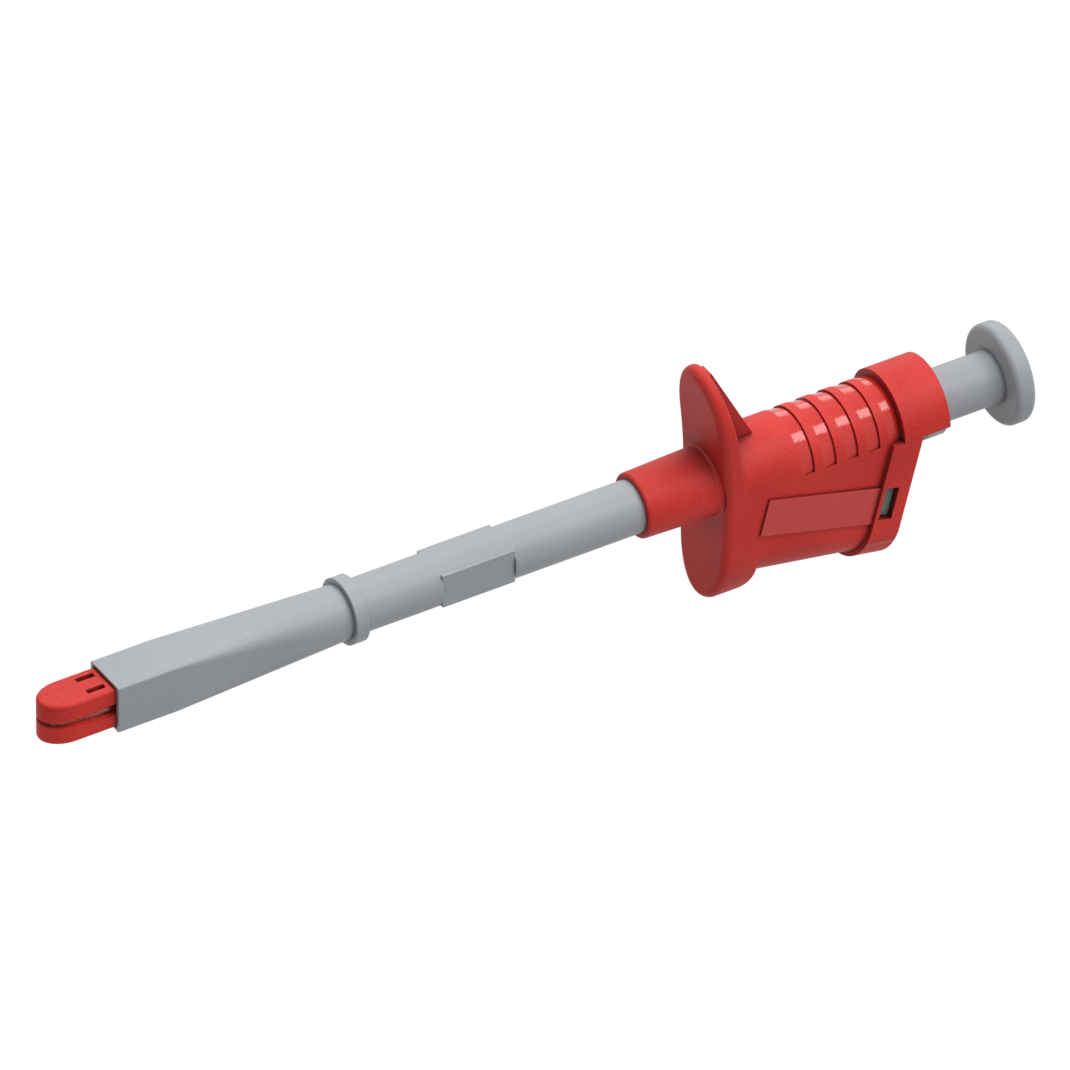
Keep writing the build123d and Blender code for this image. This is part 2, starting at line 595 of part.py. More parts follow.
# Thumb plunger: cap, stem and the stop that rests against the insert's collar
with BuildPart() as thumb_plunger:
    profile = section(
        Plane.XZ,
        (stop_x, 0),
        (stop_x, STOP_RADIUS),
        (stop_x + STOP_WIDTH, STOP_RADIUS),
        (stop_x + STOP_WIDTH, STEM_RADIUS),
        (cap_x, STEM_RADIUS),
        (cap_x, CAP_RADIUS),
        (cap_x + CAP_THICKNESS, CAP_RADIUS),
        (cap_x + CAP_THICKNESS, 0),
    )
    revolve(profile, axis=Axis.X)
    cap_rims = thumb_plunger.edges().filter_by(GeomType.CIRCLE).sort_by(SortBy.RADIUS)[-2:]
    fillet(cap_rims, CAP_EDGE_RADIUS)
    with BuildSketch(Plane.YZ.offset(stop_x)):
        Circle(ROD_RADIUS + PRESS_GAP)
    extrude(amount=ROD_HOLD, mode=Mode.SUBTRACT)
    with BuildSketch(Plane.XZ):
        with Locations((stop_x + STEM_PIN_BACK, 0)):
            Circle(STEM_PIN_RADIUS + PRESS_GAP)
    extrude(amount=CAP_RADIUS, both=True, mode=Mode.SUBTRACT)
thumb_plunger.part.label = "thumb_plunger"

# Push rod, drilled across near each end
with BuildPart() as push_rod:
    rod_front_x = pivot_x + FORK_SLOT_DEPTH + 2 * FORK_PIN_RADIUS
    with BuildSketch(Plane.YZ.offset(rod_front_x)):
        Circle(ROD_RADIUS)
    extrude(amount=stop_x + ROD_HOLD - PRESS_GAP - rod_front_x)
    with BuildSketch(Plane.XZ):
        with Locations((stop_x + STEM_PIN_BACK, 0)):
            Circle(STEM_PIN_RADIUS + PRESS_GAP)
        with Locations((fork_end_x - FORK_PIN_FROM_END, 0)):
            Circle(FORK_PIN_RADIUS + PRESS_GAP)
    extrude(amount=CAP_RADIUS, both=True, mode=Mode.SUBTRACT)
push_rod.part.label = "push_rod"

with BuildPart() as stem_pin:
    with BuildSketch(Plane.XZ):
        with Locations((stop_x + STEM_PIN_BACK, 0)):
            Circle(STEM_PIN_RADIUS)
    extrude(amount=STEM_PIN_HALF_LENGTH, both=True)
stem_pin.part.label = "stem_pin"

with BuildPart() as fork_pin:
    with BuildSketch(Plane.XZ):
        with Locations((fork_end_x - FORK_PIN_FROM_END, 0)):
            Circle(FORK_PIN_RADIUS)
    extrude(amount=FORK_RADIUS - SEAT_GAP, both=True)
fork_pin.part.label = "fork_pin"

# Fork: turned bar with a guide land, slotted in front for the jaws' knuckles
with BuildPart() as jaw_fork:
    profile = section(
        Plane.XZ,
        (pivot_x - FORK_EAR_RADIUS, 0),
        (pivot_x - FORK_EAR_RADIUS, FORK_RADIUS),
        (fork_end_x - GUIDE_LAND_LENGTH, FORK_RADIUS),
        (fork_end_x - GUIDE_LAND_LENGTH, GUIDE_LAND_RADIUS),
        (fork_end_x, GUIDE_LAND_RADIUS),
        (fork_end_x, 0),
    )
    revolve(profile, axis=Axis.X)
    with BuildSketch(Plane.XZ):
        with Locations((pivot_x, 0)):
            Circle(FORK_EAR_RADIUS)
            Rectangle(FORK_LENGTH, FAR, align=(Align.MIN, Align.CENTER))
    extrude(amount=FAR, both=True, mode=Mode.INTERSECT)
    with BuildSketch(Plane.XY):
        with Locations((pivot_x + FORK_SLOT_DEPTH, 0)):
            Rectangle(FAR, 2 * (FORK_RADIUS - FORK_EAR_THICKNESS), align=(Align.MAX, Align.CENTER))
    extrude(amount=FORK_RADIUS + OPEN_GAP, both=True, mode=Mode.SUBTRACT)
    with BuildSketch(Plane.YZ.offset(fork_end_x)):
        Circle(ROD_RADIUS + PRESS_GAP)
    extrude(amount=rod_front_x - PRESS_GAP - fork_end_x, mode=Mode.SUBTRACT)
    with BuildSketch(Plane.XZ):
        with Locations((pivot_x, 0)):
            Circle(PIVOT_PIN_RADIUS + PRESS_GAP)
        with Locations((fork_end_x - FORK_PIN_FROM_END, 0)):
            Circle(FORK_PIN_RADIUS + PRESS_GAP)
    extrude(amount=FORK_RADIUS + OPEN_GAP, both=True, mode=Mode.SUBTRACT)
jaw_fork.part.label = "jaw_fork"

with BuildPart() as pivot_pin:
    with BuildSketch(Plane.XZ):
        with Locations((pivot_x, 0)):
            Circle(PIVOT_PIN_RADIUS)
    extrude(amount=FORK_RADIUS - OPEN_GAP, both=True)
pivot_pin.part.label = "pivot_pin"

# Spreader spring: a strip folded to a narrow V between the two jaw arms
with BuildPart() as spreader_spring:
    fold_x = pivot_x - KNUCKLE_RADIUS - SPREADER_FOLD_GAP
    leg_height = ARM_INNER_HEIGHT - SEAT_GAP - SPREADER_THICKNESS / 2
    with BuildSketch(Plane.XZ):
        with BuildLine():
            Polyline(
                (fold_x - SPREADER_LENGTH, leg_height),
                (fold_x, SPREADER_THICKNESS / 2),
                (fold_x, -SPREADER_THICKNESS / 2),
                (fold_x - SPREADER_LENGTH, -leg_height),
            )
            offset(amount=SPREADER_THICKNESS / 2, side=Side.BOTH)
        make_face()
    extrude(amount=SPREADER_WIDTH / 2, both=True)
spreader_spring.part.label = "spreader_spring"


def jaw_plan(nose_centre_x, nose_length, width, end_x):
    """A jaw's outline seen from above: an elliptical nose and straight sides."""
    with BuildSketch(Plane.XY) as plan:
        with Locations((nose_centre_x, 0)):
            Ellipse(nose_length, width / 2)
            Rectangle(end_x - nose_centre_x, width, align=(Align.MIN, Align.CENTER))
    return plan.sketch


nose_centre_x = tip_x + JAW_NOSE_LENGTH
ramp_x = mouth_x - RAMP_AHEAD
boot_end_x = ramp_x + RAMP_LENGTH
plate_top = LEVER_GAP + LEVER_THICKNESS
slot_x = mouth_x - SLOT_BACK - SLOT_LENGTH
arm_end_x = fold_x + SEAT_GAP


def jaw_boot(lip_rise):
    """The upper side's red insulating boot; the lower one is mirrored."""
    with BuildPart() as boot:
        add(jaw_plan(nose_centre_x, JAW_NOSE_LENGTH, JAW_WIDTH, boot_end_x))
        extrude(amount=JAW_HALF_HEIGHT)
        top_rim = boot.faces().sort_by(Axis.Z)[-1].edges()
        fillet(top_rim.filter_by_position(Axis.X, tip_x - OPEN_GAP, ramp_x), JAW_EDGE_RADIUS)
        with BuildSketch(Plane.XZ):
            with BuildLine():
                Polyline(
                    (tip_x - OPEN_GAP, LIP_GAP),
                    (tip_x, LIP_GAP),
                    (mouth_x, LIP_GAP + lip_rise),
                    (boot_end_x, LIP_GAP + lip_rise),
                    (boot_end_x, RAMP_END_HEIGHT),
                    (ramp_x, JAW_HALF_HEIGHT),
                    (tip_x - OPEN_GAP, JAW_HALF_HEIGHT),
                    close=True,
                )
            make_face()
        extrude(amount=JAW_WIDTH, both=True, mode=Mode.INTERSECT)
        add(jaw_plan(nose_centre_x, LEVER_NOSE_LENGTH + SEAT_GAP, LEVER_WIDTH + 2 * SEAT_GAP, FAR))
        extrude(amount=plate_top + SEAT_GAP, mode=Mode.SUBTRACT)
        with BuildSketch(Plane.XY):
            with Locations((slot_x, SLOT_OFFSET), (slot_x, -SLOT_OFFSET)):
                Rectangle(SLOT_LENGTH, SLOT_WIDTH, align=(Align.MIN, Align.CENTER))
        extrude(amount=FAR, mode=Mode.SUBTRACT)
    return boot.part


def jaw_lever(knuckle_centres, knuckle_width):
    """The upper side's metal lever: toothed plate, arm and knuckles; the lower one is mirrored."""
    plate_x = nose_centre_x - LEVER_NOSE_LENGTH
    teeth = []
    for tooth in range(TOOTH_COUNT):
        root_x = plate_x + tooth * TOOTH_PITCH + TOOTH_PITCH / 2
        teeth.append((root_x, LEVER_GAP))
        teeth.append((root_x + TOOTH_PITCH / 2, LEVER_GAP + TOOTH_DEPTH))
    with BuildPart() as lever:
        add(jaw_plan(nose_centre_x, LEVER_NOSE_LENGTH, LEVER_WIDTH, boot_end_x + LEVER_STEP / 2))
        extrude(amount=ARM_OUTER_HEIGHT)
        with BuildSketch(Plane.XY):
            with Locations((boot_end_x + LEVER_STEP / 2, 0)):
                arm_length = arm_end_x - boot_end_x - LEVER_STEP / 2
                Rectangle(arm_length, ARM_WIDTH, align=(Align.MIN, Align.CENTER))
        extrude(amount=ARM_OUTER_HEIGHT)
        with BuildSketch(Plane.XZ):
            with BuildLine():
                Polyline(
                    (plate_x, LEVER_GAP),
                    *teeth,
                    (teeth[-1][0] + TOOTH_PITCH / 2, LEVER_GAP),
                    (boot_end_x, LEVER_GAP),
                    (boot_end_x + LEVER_STEP, ARM_INNER_HEIGHT),
                    (arm_end_x, ARM_INNER_HEIGHT),
                    (arm_end_x, ARM_OUTER_HEIGHT),
                    (boot_end_x + LEVER_STEP, ARM_OUTER_HEIGHT),
                    (boot_end_x, plate_top),
                    (plate_x, plate_top),
                    close=True,
                )
            make_face()
        extrude(amount=ARM_WIDTH, both=True, mode=Mode.INTERSECT)
        for centre in knuckle_centres:
            with BuildSketch(Plane.XZ.offset(-centre)):
                with Locations((pivot_x, 0)):
                    Circle(KNUCKLE_RADIUS)
                with Locations((arm_end_x, ARM_INNER_HEIGHT)):
                    Rectangle(pivot_x - arm_end_x, ARM_OUTER_HEIGHT - ARM_INNER_HEIGHT, align=Align.MIN)
                with Locations((pivot_x, 0)):
                    Circle(PIVOT_PIN_RADIUS + RUNNING_GAP, mode=Mode.SUBTRACT)
            extrude(amount=knuckle_width / 2, both=True)
        with BuildSketch(Plane.XY.offset(plate_top - SEAT_GAP)):
            with Locations((slot_x + SIDE_GAP, SLOT_OFFSET), (slot_x + SIDE_GAP, -SLOT_OFFSET)):
                Rectangle(TAB_LENGTH, TAB_WIDTH, align=(Align.MIN, Align.CENTER))
        extrude(amount=TAB_HEIGHT)
    return lever.part


outer_knuckle = (MIDDLE_KNUCKLE_WIDTH + OUTER_KNUCKLE_WIDTH) / 2 + SIDE_GAP
with BuildPart() as upper_jaw_boot:
    add(jaw_boot(UPPER_LIP_RISE))
upper_jaw_boot.part.label = "upper_jaw_boot"
with BuildPart() as lower_jaw_boot:
    mirror(jaw_boot(LOWER_LIP_RISE), about=Plane.XY)
lower_jaw_boot.part.label = "lower_jaw_boot"
with BuildPart() as upper_jaw_lever:
    add(jaw_lever([0], MIDDLE_KNUCKLE_WIDTH))
upper_jaw_lever.part.label = "upper_jaw_lever"
with BuildPart() as lower_jaw_lever:
    mirror(jaw_lever([outer_knuckle, -outer_knuckle], OUTER_KNUCKLE_WIDTH), about=Plane.XY)
lower_jaw_lever.part.label = "lower_jaw_lever"

os.makedirs("parts", exist_ok=True)
for piece in (
    nose_sleeve,
    shaft_tube,
    tube_circlip,
    handle_shell,
    rear_insert,
    socket_contact,
    contact_link,
    wiper_bush,
    spring_washer,
    return_spring,
    thumb_plunger,
    push_rod,
    stem_pin,
    fork_pin,
    jaw_fork,
    pivot_pin,
    spreader_spring,
    upper_jaw_boot,
    lower_jaw_boot,
    upper_jaw_lever,
    lower_jaw_lever,
):
    export_step(piece.part, f"parts/{piece.part.label}.step")
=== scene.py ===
import json
from math import cos, pi, radians, sin

import bpy
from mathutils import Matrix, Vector


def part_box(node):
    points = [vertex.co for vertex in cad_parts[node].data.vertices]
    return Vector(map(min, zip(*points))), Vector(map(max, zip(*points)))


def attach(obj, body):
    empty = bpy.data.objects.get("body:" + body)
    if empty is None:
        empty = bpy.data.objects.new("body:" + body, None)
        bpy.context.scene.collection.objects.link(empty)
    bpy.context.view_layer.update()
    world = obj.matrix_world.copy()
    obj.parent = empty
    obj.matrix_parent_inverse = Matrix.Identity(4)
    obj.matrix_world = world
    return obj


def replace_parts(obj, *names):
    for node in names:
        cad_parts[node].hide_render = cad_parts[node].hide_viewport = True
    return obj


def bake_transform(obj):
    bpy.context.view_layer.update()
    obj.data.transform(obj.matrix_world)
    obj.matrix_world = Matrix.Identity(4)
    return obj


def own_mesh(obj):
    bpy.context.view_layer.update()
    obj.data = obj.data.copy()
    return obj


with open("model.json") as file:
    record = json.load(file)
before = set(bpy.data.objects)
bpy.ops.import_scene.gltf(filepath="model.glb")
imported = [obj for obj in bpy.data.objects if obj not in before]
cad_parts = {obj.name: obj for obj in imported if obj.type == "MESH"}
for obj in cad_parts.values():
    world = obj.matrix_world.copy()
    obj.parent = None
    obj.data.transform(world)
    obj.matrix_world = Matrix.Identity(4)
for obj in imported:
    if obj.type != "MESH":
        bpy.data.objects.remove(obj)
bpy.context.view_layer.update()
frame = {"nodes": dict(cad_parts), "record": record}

# Metres for lengths that are written in millimetres
MM = 0.001

# Camera: the photograph is an orthographic view, so the lens is very long and stands far back
VIEW_AZIMUTH = radians(30.9)
VIEW_ELEVATION = radians(37.2)
PHOTO_SIZE_PX = 1070
PHOTO_PX_PER_MM = 7.11
SENSOR_MM = 36.0
LENS_MM = 1200.0
FAR_CLIP = 50.0
AIM_POINT = Vector((75.9, 0.0, 1.1)) * MM

# Floor: a board that is nearly all glow where it is seen, so that only a soft shadow shows on it
FLOOR_BELOW = 70 * MM
FLOOR_SIZE = 3.0
FLOOR_GLOW = 1.07
FLOOR_GLOW_SHARE = 0.93

# Lamps: name, direction from the aim point, width in metres, and the share of full light that each
# gives. The key comes from the cap's side, the near one lights the side that is seen, the top one
# the upper faces, and the rim is a weak one from behind
WORLD_LIGHT = 0.4
LAMP_DISTANCE = 0.8
LAMPS = (
    ("key_softbox", (0.634, -0.308, 0.71), 0.25, 0.2),
    ("near_softbox", (0.25, -0.58, 0.8), 0.45, 0.22),
    ("top_softbox", (0.2, 0.35, 0.9), 0.5, 0.3),
    ("rim_softbox", (0.535, 0.784, 0.314), 0.25, 0.06),
)

# Places on the handle where its finish changes
FLANGE_FROM = 100 * MM
FLANGE_FORWARD = (-0.4, -0.8)
GRIP_FROM = 114.5 * MM
GRIP_PITCH = 3.6 * MM
GRIP_CREST_SHARE = 0.39
GRIP_TO = 132.5 * MM
GRIP_FADE_HEIGHT = 3 * MM
COLLAR_FROM = 138 * MM
PANEL_FROM = 108.6 * MM
PANEL_TO = 131.5 * MM
PANEL_LEVEL = 6.75 * MM
PANEL_LEVEL_SLACK = 0.1 * MM

# Red mouldings. Real erosion grain is about 0.1 mm, too fine to show here, so it is drawn three
# times as coarse
ABS_GRAIN = 0.32 * MM
ABS_GRAIN_HEIGHT = 0.03 * MM
ABS_GRAIN_STRENGTH = 0.7
ABS_POLISHED_STRENGTH = 0.08
ABS_ROUGHNESS = 0.58
ABS_PANEL_ROUGHNESS = 0.42
ABS_RAMP_ROUGHNESS = 0.11
# Colour of the painted shade in corners and on the flange's front face, then that face's share of it
RED_PAINTED_SHADE = "#5A0E0B"
FLANGE_SHADE_SHARE = 0.17

# Grey mouldings
NYLON_MOTTLE = 0.4 * MM
NYLON_SKIN = 0.35 * MM
NYLON_SKIN_HEIGHT = 0.008 * MM
NYLON_SKIN_STRENGTH = 0.3
# Colour of the painted shade in corners, and how far it reaches
GREY_PAINTED_SHADE = "#4A4E50"
GREY_SHADE_REACH = 1.2 * MM

# Every moulding: a slow drift of the pigment, and painted shade where little of the surroundings is open
CLOUD = 14 * MM
TONE_RANGE = (0.75, 1.25)
FULL_SHADE_AT = 0.25
NO_SHADE_AT = 0.85

# Lines on worked metal
METAL_LINE_LENGTH = 8 * MM
METAL_LINE_HEIGHT = 0.006 * MM
METAL_LINE_STRENGTH = 0.3

# Springs
COIL_WIRE_RADIUS = 0.3 * MM
COIL_TURNS = 6
COIL_STEPS_IN_TURN = 28
COIL_SIDES = 10
COIL_CLOSE_ENDS = 0.6
STRIP_THICKNESS = 0.25 * MM
STRIP_STEPS = 16
STRIP_BOW = 1.5
STRIP_SHOWN_SHARE = 0.96


def linear(hex_colour):
    """sRGB hex such as #C8102E as a linear RGBA colour."""
    channels = []
    for start in (1, 3, 5):
        value = int(hex_colour[start:start + 2], 16) / 255
        channels.append(value / 12.92 if value <= 0.04045 else ((value + 0.055) / 1.055) ** 2.4)
    return (*channels, 1.0)


def add_node(tree, kind, inputs=None, **settings):
    """Add one node, set its properties, and fill its inputs with values or other nodes' outputs."""
    new = tree.nodes.new(kind)
    for name, value in settings.items():
        setattr(new, name, value)
    for name, value in (inputs or {}).items():
        if isinstance(value, bpy.types.NodeSocket):
            tree.links.new(value, new.inputs[name])
        else:
            new.inputs[name].default_value = value
    return new


def reckon(tree, operation, *values):
    """The result of one arithmetic operation."""
    return add_node(tree, "ShaderNodeMath", dict(enumerate(values)), operation=operation).outputs[0]


def remap(tree, value, from_range=(0.0, 1.0), to_range=(0.0, 1.0), clamp=True):
    """A value moved from one range to another."""
    inputs = {
        "Value": value,
        "From Min": from_range[0],
        "From Max": from_range[1],
        "To Min": to_range[0],
        "To Max": to_range[1],
    }
    return add_node(tree, "ShaderNodeMapRange", inputs, clamp=clamp).outputs[0]


def mix_colours(tree, share, first, second):
    """The first colour, going over to the second as the share rises from 0 to 1."""
    inputs = {"Factor": share, "A": first, "B": second}
    return add_node(tree, "ShaderNodeMix", inputs, data_type="RGBA").outputs["Result"]


def noise(tree, place, grain, detail=2.0):
    """Noise of one grain size, in the unit of its place."""
    inputs = {"Vector": place, "Scale": 1 / grain, "Detail": detail}
    return add_node(tree, "ShaderNodeTexNoise", inputs).outputs["Fac"]


def bumped(tree, height, distance, strength):
    """The surface direction, tilted by a height pattern."""
    inputs = {"Height": height, "Distance": distance, "Strength": strength}
    return add_node(tree, "ShaderNodeBump", inputs).outputs[0]


def new_material(name):
    """A material without nodes, and its node tree."""
    material = bpy.data.materials.new(name)
    material.use_nodes = True
    material.node_tree.nodes.clear()
    return material, material.node_tree


def finish_surface(tree, shader):
    """Send the shader to the material's output."""
    add_node(tree, "ShaderNodeOutputMaterial", {"Surface": shader.outputs[0]})


def grained_colour(tree, place, light_hex, dark_hex, grain):
    """Two close tones mixed by a fine grain and a slow cloud, as pigment sits in a moulding."""
    both = reckon(tree, "ADD", noise(tree, place, grain), noise(tree, place, CLOUD, detail=1.0))
    share = remap(tree, both, TONE_RANGE)
    return mix_colours(tree, share, linear(dark_hex), linear(light_hex))


def painted_corner_shade(tree, colour, shade_hex, reach, full_shade_at=FULL_SHADE_AT):
    """The colour, darkened in inside corners and narrow gaps: painted shade."""
    openness = add_node(tree, "ShaderNodeAmbientOcclusion", {"Distance": reach}, samples=8)
    unshaded = remap(tree, openness.outputs["AO"], (full_shade_at, NO_SHADE_AT))
    return mix_colours(tree, unshaded, linear(shade_hex), colour)


def between(tree, value, low, high):
    """1 where a coordinate lies between two limits, 0 elsewhere."""
    over = reckon(tree, "GREATER_THAN", value, low)
    under = reckon(tree, "LESS_THAN", value, high)
    return reckon(tree, "MULTIPLY", over, under)


def ramp_faces(tree, axes):
    """1 on the sloped faces of the thumb grip: the rear part of each pitch, fading out down the sides."""
    pitches = remap(tree, axes.outputs["X"], (GRIP_FROM, GRIP_FROM + GRIP_PITCH), clamp=False)
    slope = between(tree, reckon(tree, "FRACT", pitches), GRIP_CREST_SHARE, 1.0)
    band = between(tree, axes.outputs["X"], GRIP_FROM, GRIP_TO)
    upper = remap(tree, axes.outputs["Z"], (0.0, GRIP_FADE_HEIGHT))
    return reckon(tree, "MULTIPLY", reckon(tree, "MULTIPLY", slope, band), upper)


def side_panels(tree, axes):
    """1 on the two flat raised panels under the grip."""
    outward = reckon(tree, "ABSOLUTE", axes.outputs["Y"])
    level = between(tree, outward, PANEL_LEVEL - PANEL_LEVEL_SLACK, PANEL_LEVEL + PANEL_LEVEL_SLACK)
    along = between(tree, axes.outputs["X"], PANEL_FROM, PANEL_TO)
    return reckon(tree, "MULTIPLY", level, along)


def front_of_flange(tree, axes):
    """1 on the flange's front face, and 0 on all that is ahead of it or doesn't face the jaws."""
    normal = add_node(tree, "ShaderNodeTexCoord").outputs["Normal"]
    facing = add_node(tree, "ShaderNodeSeparateXYZ", {"Vector": normal})
    forward = remap(tree, facing.outputs["X"], FLANGE_FORWARD)
    return reckon(tree, "MULTIPLY", forward, reckon(tree, "GREATER_THAN", axes.outputs["X"], FLANGE_FROM))


def moulded_abs_grained(name, light_hex, dark_hex, shade_reach, full_shade_at=FULL_SHADE_AT, panel_sheen_hex=None):
    """Insulating ABS from a spark-eroded mould: matt, with a fine even grain that breaks up the light."""
    material, tree = new_material(name)
    place = add_node(tree, "ShaderNodeTexCoord").outputs["Object"]
    colour = grained_colour(tree, place, light_hex, dark_hex, ABS_GRAIN)
    strength = ABS_GRAIN_STRENGTH
    roughness = ABS_ROUGHNESS
    if panel_sheen_hex:
        # The ramps and the side panels come from polished inserts of the mould, so they are smoother
        axes = add_node(tree, "ShaderNodeSeparateXYZ", {"Vector": place})
        ramps = ramp_faces(tree, axes)
        panels = side_panels(tree, axes)
        # The side panels are painted paler: a painted sheen of their smoother face
        colour = mix_colours(tree, panels, colour, linear(panel_sheen_hex))
        # The flange's front face, which the fingers press, is painted a little darker: painted shade on
        # the face that turns away from the lamps
        flange_shade = reckon(tree, "MULTIPLY", front_of_flange(tree, axes), FLANGE_SHADE_SHARE)
        colour = mix_colours(tree, flange_shade, colour, linear(RED_PAINTED_SHADE))
        smooth = reckon(tree, "MAXIMUM", ramps, panels)
        strength = remap(tree, smooth, to_range=(ABS_GRAIN_STRENGTH, ABS_POLISHED_STRENGTH))
        satin = remap(tree, panels, to_range=(ABS_ROUGHNESS, ABS_PANEL_ROUGHNESS))
        roughness = remap(tree, ramps, to_range=(satin, ABS_RAMP_ROUGHNESS))
    surface = {
        "Base Color": painted_corner_shade(tree, colour, RED_PAINTED_SHADE, shade_reach, full_shade_at),
        "Normal": bumped(tree, noise(tree, place, ABS_GRAIN), ABS_GRAIN_HEIGHT, strength),
        "IOR": 1.54,
        "Specular IOR Level": 0.42,
        "Roughness": roughness,
    }
    finish_surface(tree, add_node(tree, "ShaderNodeBsdfPrincipled", surface))
    return material


def moulded_nylon_satin(name, light_hex, dark_hex, roughness, latch_shade_hex=None):
    """Grey polyamide from a smooth mould: satin, almost even, with faint flow clouds."""
    material, tree = new_material(name)
    place = add_node(tree, "ShaderNodeTexCoord").outputs["Object"]
    colour = grained_colour(tree, place, light_hex, dark_hex, NYLON_MOTTLE)
    if latch_shade_hex:
        # The latch, deep in the strap's window, is painted darker: painted shade of the recess
        axes = add_node(tree, "ShaderNodeSeparateXYZ", {"Vector": place})
        latch = reckon(tree, "LESS_THAN", axes.outputs["X"], COLLAR_FROM)
        colour = mix_colours(tree, latch, colour, linear(latch_shade_hex))
    surface = {
        "Base Color": painted_corner_shade(tree, colour, GREY_PAINTED_SHADE, GREY_SHADE_REACH),
        "Normal": bumped(tree, noise(tree, place, NYLON_SKIN), NYLON_SKIN_HEIGHT, NYLON_SKIN_STRENGTH),
        "IOR": 1.53,
        "Specular IOR Level": 0.35,
        "Roughness": roughness,
    }
    finish_surface(tree, add_node(tree, "ShaderNodeBsdfPrincipled", surface))
    return material


def worked_metal(name, hex_colour, roughness, line_width, along):
    """Bare or plated metal with the fine lines its working leaves, drawn out along one axis."""
    material, tree = new_material(name)
    place = add_node(tree, "ShaderNodeTexCoord").outputs["Object"]
    stretch = [1 / line_width] * 3
    stretch["XYZ".index(along)] = 1 / METAL_LINE_LENGTH
    drawn = add_node(tree, "ShaderNodeMapping", {"Vector": place, "Scale": stretch})
    lines = noise(tree, drawn.outputs[0], 1.0)
    surface = {
        "Base Color": linear(hex_colour),
        "Metallic": 1.0,
        "Roughness": remap(tree, lines, to_range=(roughness * 0.75, roughness * 1.3)),
        "Normal": bumped(tree, lines, METAL_LINE_HEIGHT, METAL_LINE_STRENGTH),
    }
    finish_surface(tree, add_node(tree, "ShaderNodeBsdfPrincipled", surface))
    return material


def seen_or_mirrored(tree):
    """The kinds of ray, and 1 for those that look at a thing directly or in a glossy surface."""
    ray = add_node(tree, "ShaderNodeLightPath")
    return ray, reckon(tree, "MAXIMUM", ray.outputs["Is Camera Ray"], ray.outputs["Is Glossy Ray"])


def studio_floor():
    """Pale matt board that shows near white and keeps a soft shadow."""
    material, tree = new_material("pale_studio_board")
    seen = seen_or_mirrored(tree)[1]
    share = reckon(tree, "MULTIPLY", seen, FLOOR_GLOW_SHARE)
    board = add_node(tree, "ShaderNodeBsdfDiffuse", {"Color": linear("#9C9C9C")})
    glow = add_node(tree, "ShaderNodeEmission", {"Color": linear("#FFFFFF"), "Strength": FLOOR_GLOW})
    inputs = {0: share, 1: board.outputs[0], 2: glow.outputs[0]}
    finish_surface(tree, add_node(tree, "ShaderNodeMixShader", inputs))
    bpy.ops.mesh.primitive_plane_add(size=FLOOR_SIZE, location=(AIM_POINT.x, 0, -FLOOR_BELOW))
    floor = bpy.context.object
    floor.name = "floor"
    floor.data.materials.append(material)


def studio_world():
    """Even pale surround: full white where it is seen, also in metal, and dimmer as light."""
    world = bpy.data.worlds.new("studio")
    world.use_nodes = True
    tree = world.node_tree
    tree.nodes.clear()
    ray, seen = seen_or_mirrored(tree)
    white = reckon(tree, "MAXIMUM", seen, ray.outputs["Is Transmission Ray"])
    level = remap(tree, white, to_range=(WORLD_LIGHT, 1.0))
    light = add_node(tree, "ShaderNodeBackground", {"Color": linear("#FFFFFF"), "Strength": level})
    add_node(tree, "ShaderNodeOutputWorld", {"Surface": light.outputs[0]})
    bpy.context.scene.world = world


def softbox(name, direction, width, share):
    """A square lamp facing the aim point, which gives a surface that faces it this share of full light."""
    lamp = bpy.data.lights.new(name, "AREA")
    lamp.shape = "SQUARE"
    lamp.size = width
    lamp.energy = share * pi ** 2 * LAMP_DISTANCE ** 2
    holder = bpy.data.objects.new(name, lamp)
    holder.location = AIM_POINT + Vector(direction).normalized() * LAMP_DISTANCE
    holder.rotation_euler = (AIM_POINT - holder.location).to_track_quat("-Z", "Y").to_euler()
    bpy.context.scene.collection.objects.link(holder)


def place_camera():
    """The photograph's viewpoint: from the jaws' side, above and on the near side."""
    towards = Vector((
        -cos(VIEW_ELEVATION) * sin(VIEW_AZIMUTH),
        -cos(VIEW_ELEVATION) * cos(VIEW_AZIMUTH),
        sin(VIEW_ELEVATION),
    ))
    lens = bpy.data.cameras.new("camera")
    lens.lens = LENS_MM
    lens.sensor_width = SENSOR_MM
    lens.clip_end = FAR_CLIP
    camera = bpy.data.objects.new("camera", lens)
    field = PHOTO_SIZE_PX / PHOTO_PX_PER_MM * MM
    camera.location = AIM_POINT + towards * (field * LENS_MM / SENSOR_MM)
    camera.rotation_euler = (-towards).to_track_quat("-Z", "Y").to_euler()
    bpy.context.scene.collection.objects.link(camera)
    bpy.context.scene.camera = camera


def tube_mesh(name, rings, smooth):
    """Mesh from rings of points: neighbours joined by faces, and both ends capped."""
    mesh = bpy.data.meshes.new(name)
    count = len(rings[0])
    points = [point for ring in rings for point in ring]
    faces = []
    for row in range(len(rings) - 1):
        for step in range(count):
            after = (step + 1) % count
            faces.append((
                row * count + step,
                row * count + after,
                (row + 1) * count + after,
                (row + 1) * count + step,
            ))
    faces.append(tuple(range(count))[::-1])
    faces.append(tuple(range((len(rings) - 1) * count, len(rings) * count)))
    mesh.from_pydata(points, [], faces)
    mesh.polygons.foreach_set("use_smooth", [smooth] * len(mesh.polygons))
    mesh.update()
    piece = bpy.data.objects.new(name, mesh)
    bpy.context.scene.collection.objects.link(piece)
    return piece


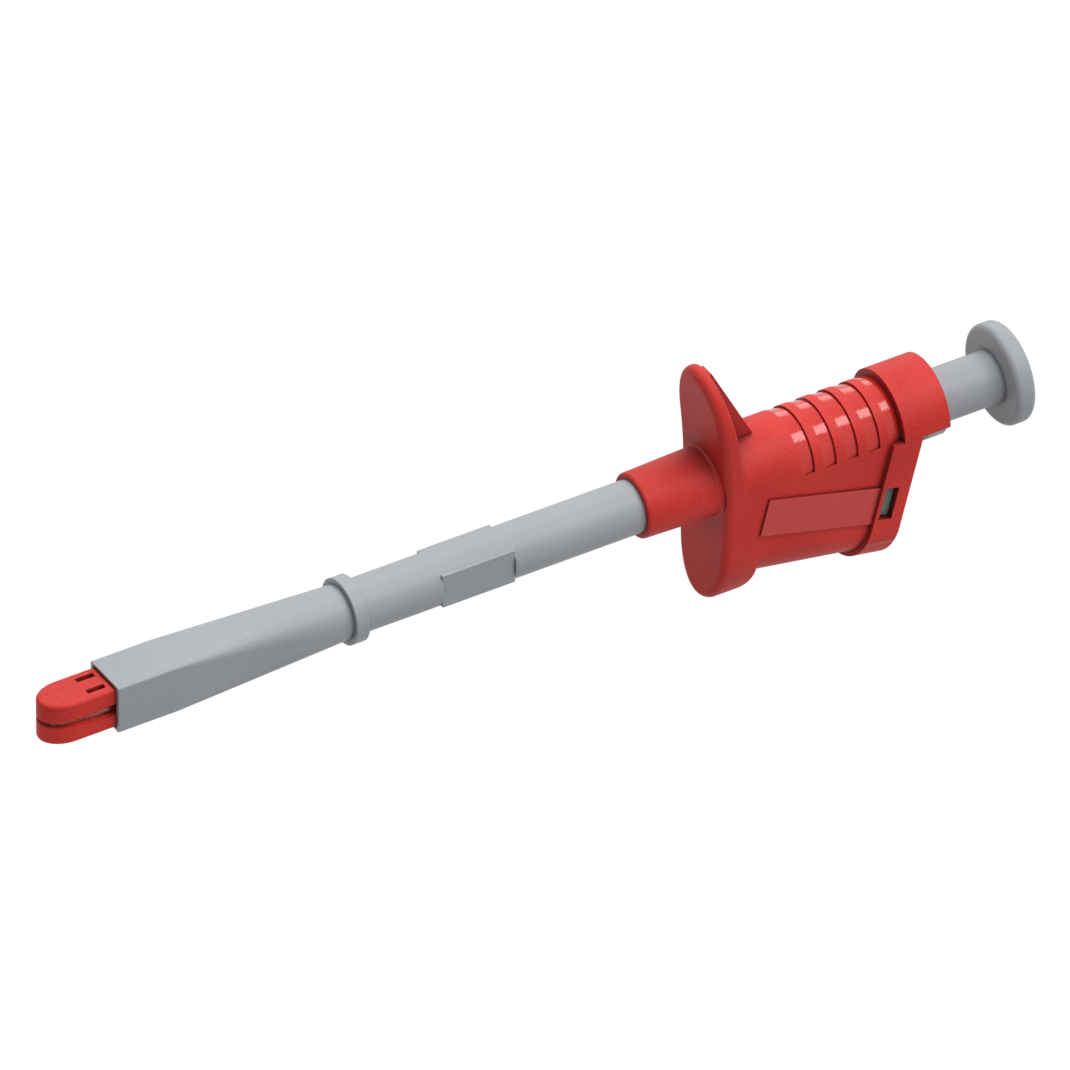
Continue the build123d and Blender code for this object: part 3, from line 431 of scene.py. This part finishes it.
def compression_coil():
    """The return spring as round wire, with its end turns wound close."""
    low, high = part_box("return_spring")
    mean_radius = high.y - COIL_WIRE_RADIUS
    length = high.x - low.x - 2 * COIL_WIRE_RADIUS
    rings = []
    steps = COIL_TURNS * COIL_STEPS_IN_TURN
    for step in range(steps + 1):
        share = step / steps
        turn = 2 * pi * COIL_TURNS * share
        close_ends = COIL_CLOSE_ENDS * sin(2 * pi * share) / (2 * pi)
        x = low.x + COIL_WIRE_RADIUS + length * (share - close_ends)
        outward = Vector((0, cos(turn), sin(turn)))
        centre = Vector((x, 0, 0)) + outward * mean_radius
        ring = []
        for side in range(COIL_SIDES):
            angle = 2 * pi * side / COIL_SIDES
            spoke = outward * cos(angle) + Vector((1, 0, 0)) * sin(angle)
            ring.append(centre + spoke * COIL_WIRE_RADIUS)
        rings.append(ring)
    coil = tube_mesh("return_coil", rings, smooth=True)
    coil.data.materials.append(steel)
    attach(coil, "housing")
    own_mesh(coil)
    return coil


def spreader_leg(name, side):
    """One leg of the folded strip, from the fold to the tip that lies against a jaw's arm."""
    low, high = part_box("spreader_spring")
    half_width = high.y
    half_thickness = STRIP_THICKNESS / 2
    reach = high.z - half_thickness
    fold_x = high.x - half_thickness
    length = fold_x - low.x
    # A hair thinner than the strip, so that it stays within the solid that it replaces
    half_shown = half_thickness * STRIP_SHOWN_SHARE
    rings = []
    for step in range(STRIP_STEPS + 1):
        share = step / STRIP_STEPS
        # A leg leaves the fold bowed outward and meets the arm nearly flat
        height = half_thickness + (reach - half_thickness) * (1 - (1 - share) ** STRIP_BOW)
        x = fold_x - length * share
        rings.append([
            Vector((x, -half_width, side * (height - half_shown))),
            Vector((x, half_width, side * (height - half_shown))),
            Vector((x, half_width, side * (height + half_shown))),
            Vector((x, -half_width, side * (height + half_shown))),
        ])
    leg = tube_mesh(name, rings, smooth=False)
    leg.data.materials.append(steel)
    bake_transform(leg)
    return leg


place_camera()
studio_floor()
studio_world()
for lamp in LAMPS:
    softbox(*lamp)

# On the handle the painted corner shade reaches further and is darker
red_body = moulded_abs_grained(
    "red_abs_spark_eroded", "#EB382F", "#D12923", shade_reach=8 * MM, full_shade_at=0.4, panel_sheen_hex="#DC433F"
)
red_jaw = moulded_abs_grained("red_abs_jaw", "#F4392F", "#D0251F", shade_reach=1.2 * MM)
grey_sleeve = moulded_nylon_satin("grey_nylon_satin", "#B7BBBF", "#B0B4B8", 0.42)
# The insert's latch gets a darker colour, a painted shade
grey_insert = moulded_nylon_satin("grey_nylon_insert", "#B7BBBF", "#B0B4B8", 0.42, latch_shade_hex="#7E8786")
grey_plunger = moulded_nylon_satin("grey_nylon_plunger", "#B0B4B8", "#AAAEB2", 0.45)
nickel = worked_metal("nickel_plated_brass", "#D9D6CE", 0.28, 0.12 * MM, "X")
brass = worked_metal("turned_brass", "#D8B56A", 0.3, 0.12 * MM, "X")
steel = worked_metal("drawn_spring_steel", "#B4B5B6", 0.3, 0.1 * MM, "X")
nylon_washer = moulded_nylon_satin("natural_nylon_washer", "#E4E0D2", "#DDD9CB", 0.45)

FINISHES = {
    "red_body": red_body,
    "red_jaw": red_jaw,
    "grey_sleeve": grey_sleeve,
    "grey_insert": grey_insert,
    "grey_plunger": grey_plunger,
    "nickel_plated": nickel,
    "brass": brass,
    "washer": nylon_washer,
    "spring_steel": steel,
    "steel_pins": steel,
}
for subpart in frame["record"]["subparts"]:
    node = frame["nodes"][subpart["node"]]
    node.data.materials.clear()
    node.data.materials.append(FINISHES[subpart["material_slot"]])

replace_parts(compression_coil(), "return_spring")
upper_leg = spreader_leg("spreader_leg_upper", 1)
lower_leg = spreader_leg("spreader_leg_lower", -1)
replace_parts(upper_leg, "spreader_spring")
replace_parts(lower_leg, "spreader_spring")

scene = bpy.context.scene
scene.view_settings.view_transform = "Standard"
